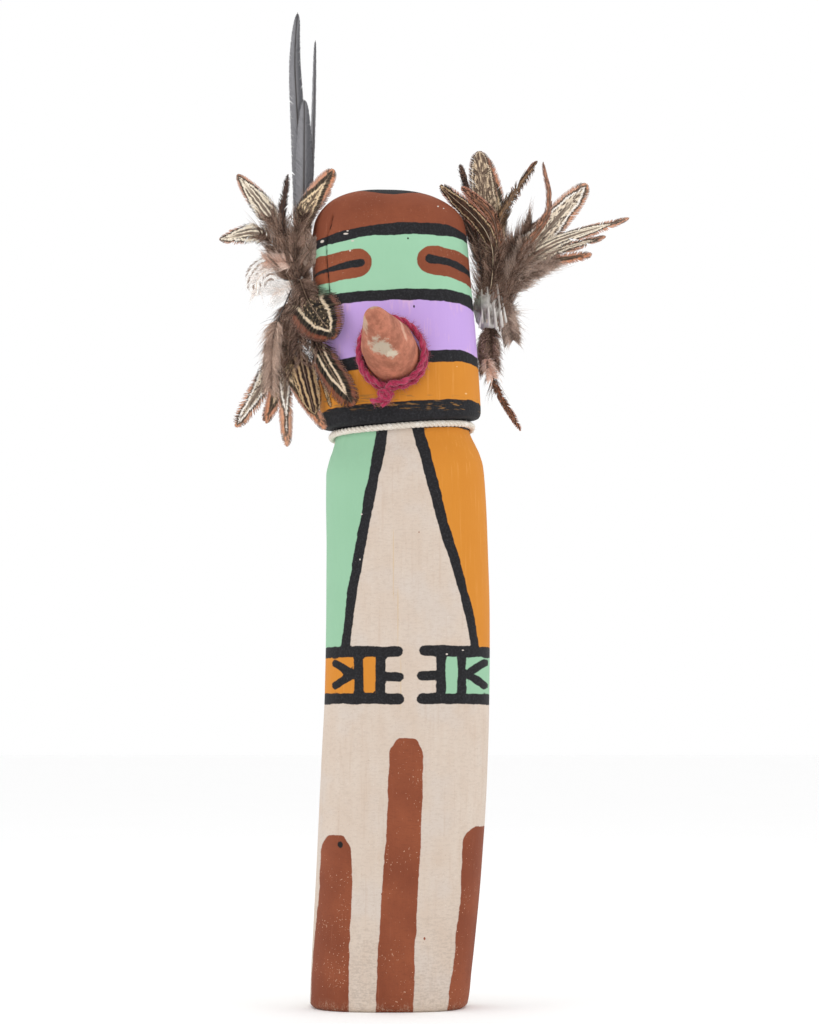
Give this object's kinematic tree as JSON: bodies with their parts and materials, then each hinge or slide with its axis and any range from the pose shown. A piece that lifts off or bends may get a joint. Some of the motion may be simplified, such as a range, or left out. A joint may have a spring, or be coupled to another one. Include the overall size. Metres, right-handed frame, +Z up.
{
  "type": "carved painted kachina doll",
  "caption": "Standing flat-footed doll carved from cottonwood root, painted in bands, with a cone snout, a yarn collar, a neck string and feather tufts at both sides of the head.",
  "frame": {"origin": "centre of the flat-cut foot the doll stands on", "axes": "+Z up along the root, -Y out of the face along the snout, +X to the right of someone facing the doll"},
  "size_m": [0.16, 0.0918, 0.3892],
  "materials": {
    "painted_wood": "matt mineral paint on smooth cottonwood root, worn at the edges",
    "rust_paint": "matt rust paint on wood, scuffed",
    "wool_yarn": "crimson plied wool",
    "cotton_string": "white twisted cotton",
    "clear_glue": "dried clear glue, slightly cloudy",
    "pheasant_feather": "barred feather vane with a rust edge",
    "black_feather": "black feather vane with a slight sheen",
    "dark_feather": "dark brown feather vane",
    "white_feather": "soft white feather vane",
    "down": "loose grey-brown down"
  },
  "bodies": {
    "root": {"figure": "painted_wood", "snout": "rust_paint", "snout_yarn": "wool_yarn", "neck_string": "cotton_string", "left_glue": "clear_glue", "right_glue": "clear_glue", "left_black_long": "black_feather", "left_black_middle": "black_feather", "left_black_thin": "black_feather", "left_upright": "pheasant_feather", "left_upright_pale": "pheasant_feather", "left_outward": "pheasant_feather", "left_wisp": "dark_feather", "left_sideways": "pheasant_feather", "left_curled": "white_feather", "left_cheek_broad": "pheasant_feather", "left_cheek_under": "dark_feather", "left_cheek_long": "pheasant_feather", "left_cheek_thin": "dark_feather", "left_hanging_dark": "dark_feather", "left_hanging_rust": "pheasant_feather", "left_hanging_edge": "pheasant_feather", "left_hanging_fork": "pheasant_feather", "left_hanging_cream": "pheasant_feather", "left_hanging_thin": "pheasant_feather", "left_hanging_outer": "pheasant_feather", "left_plume": "down", "right_tall": "pheasant_feather", "right_tall_behind": "pheasant_feather", "right_over_head": "pheasant_feather", "right_over_head_short": "pheasant_feather", "right_frayed": "dark_feather", "right_beside_head": "dark_feather", "right_olive": "dark_feather", "right_rust_bow": "pheasant_feather", "right_rounded": "pheasant_feather", "right_slender": "pheasant_feather", "right_split": "pheasant_feather", "right_low": "pheasant_feather", "right_plume_up": "down", "right_plume_side": "down", "right_plume_drooping": "down", "right_plume_down": "down", "right_hanging": "pheasant_feather"}
  },
  "joints": []
}
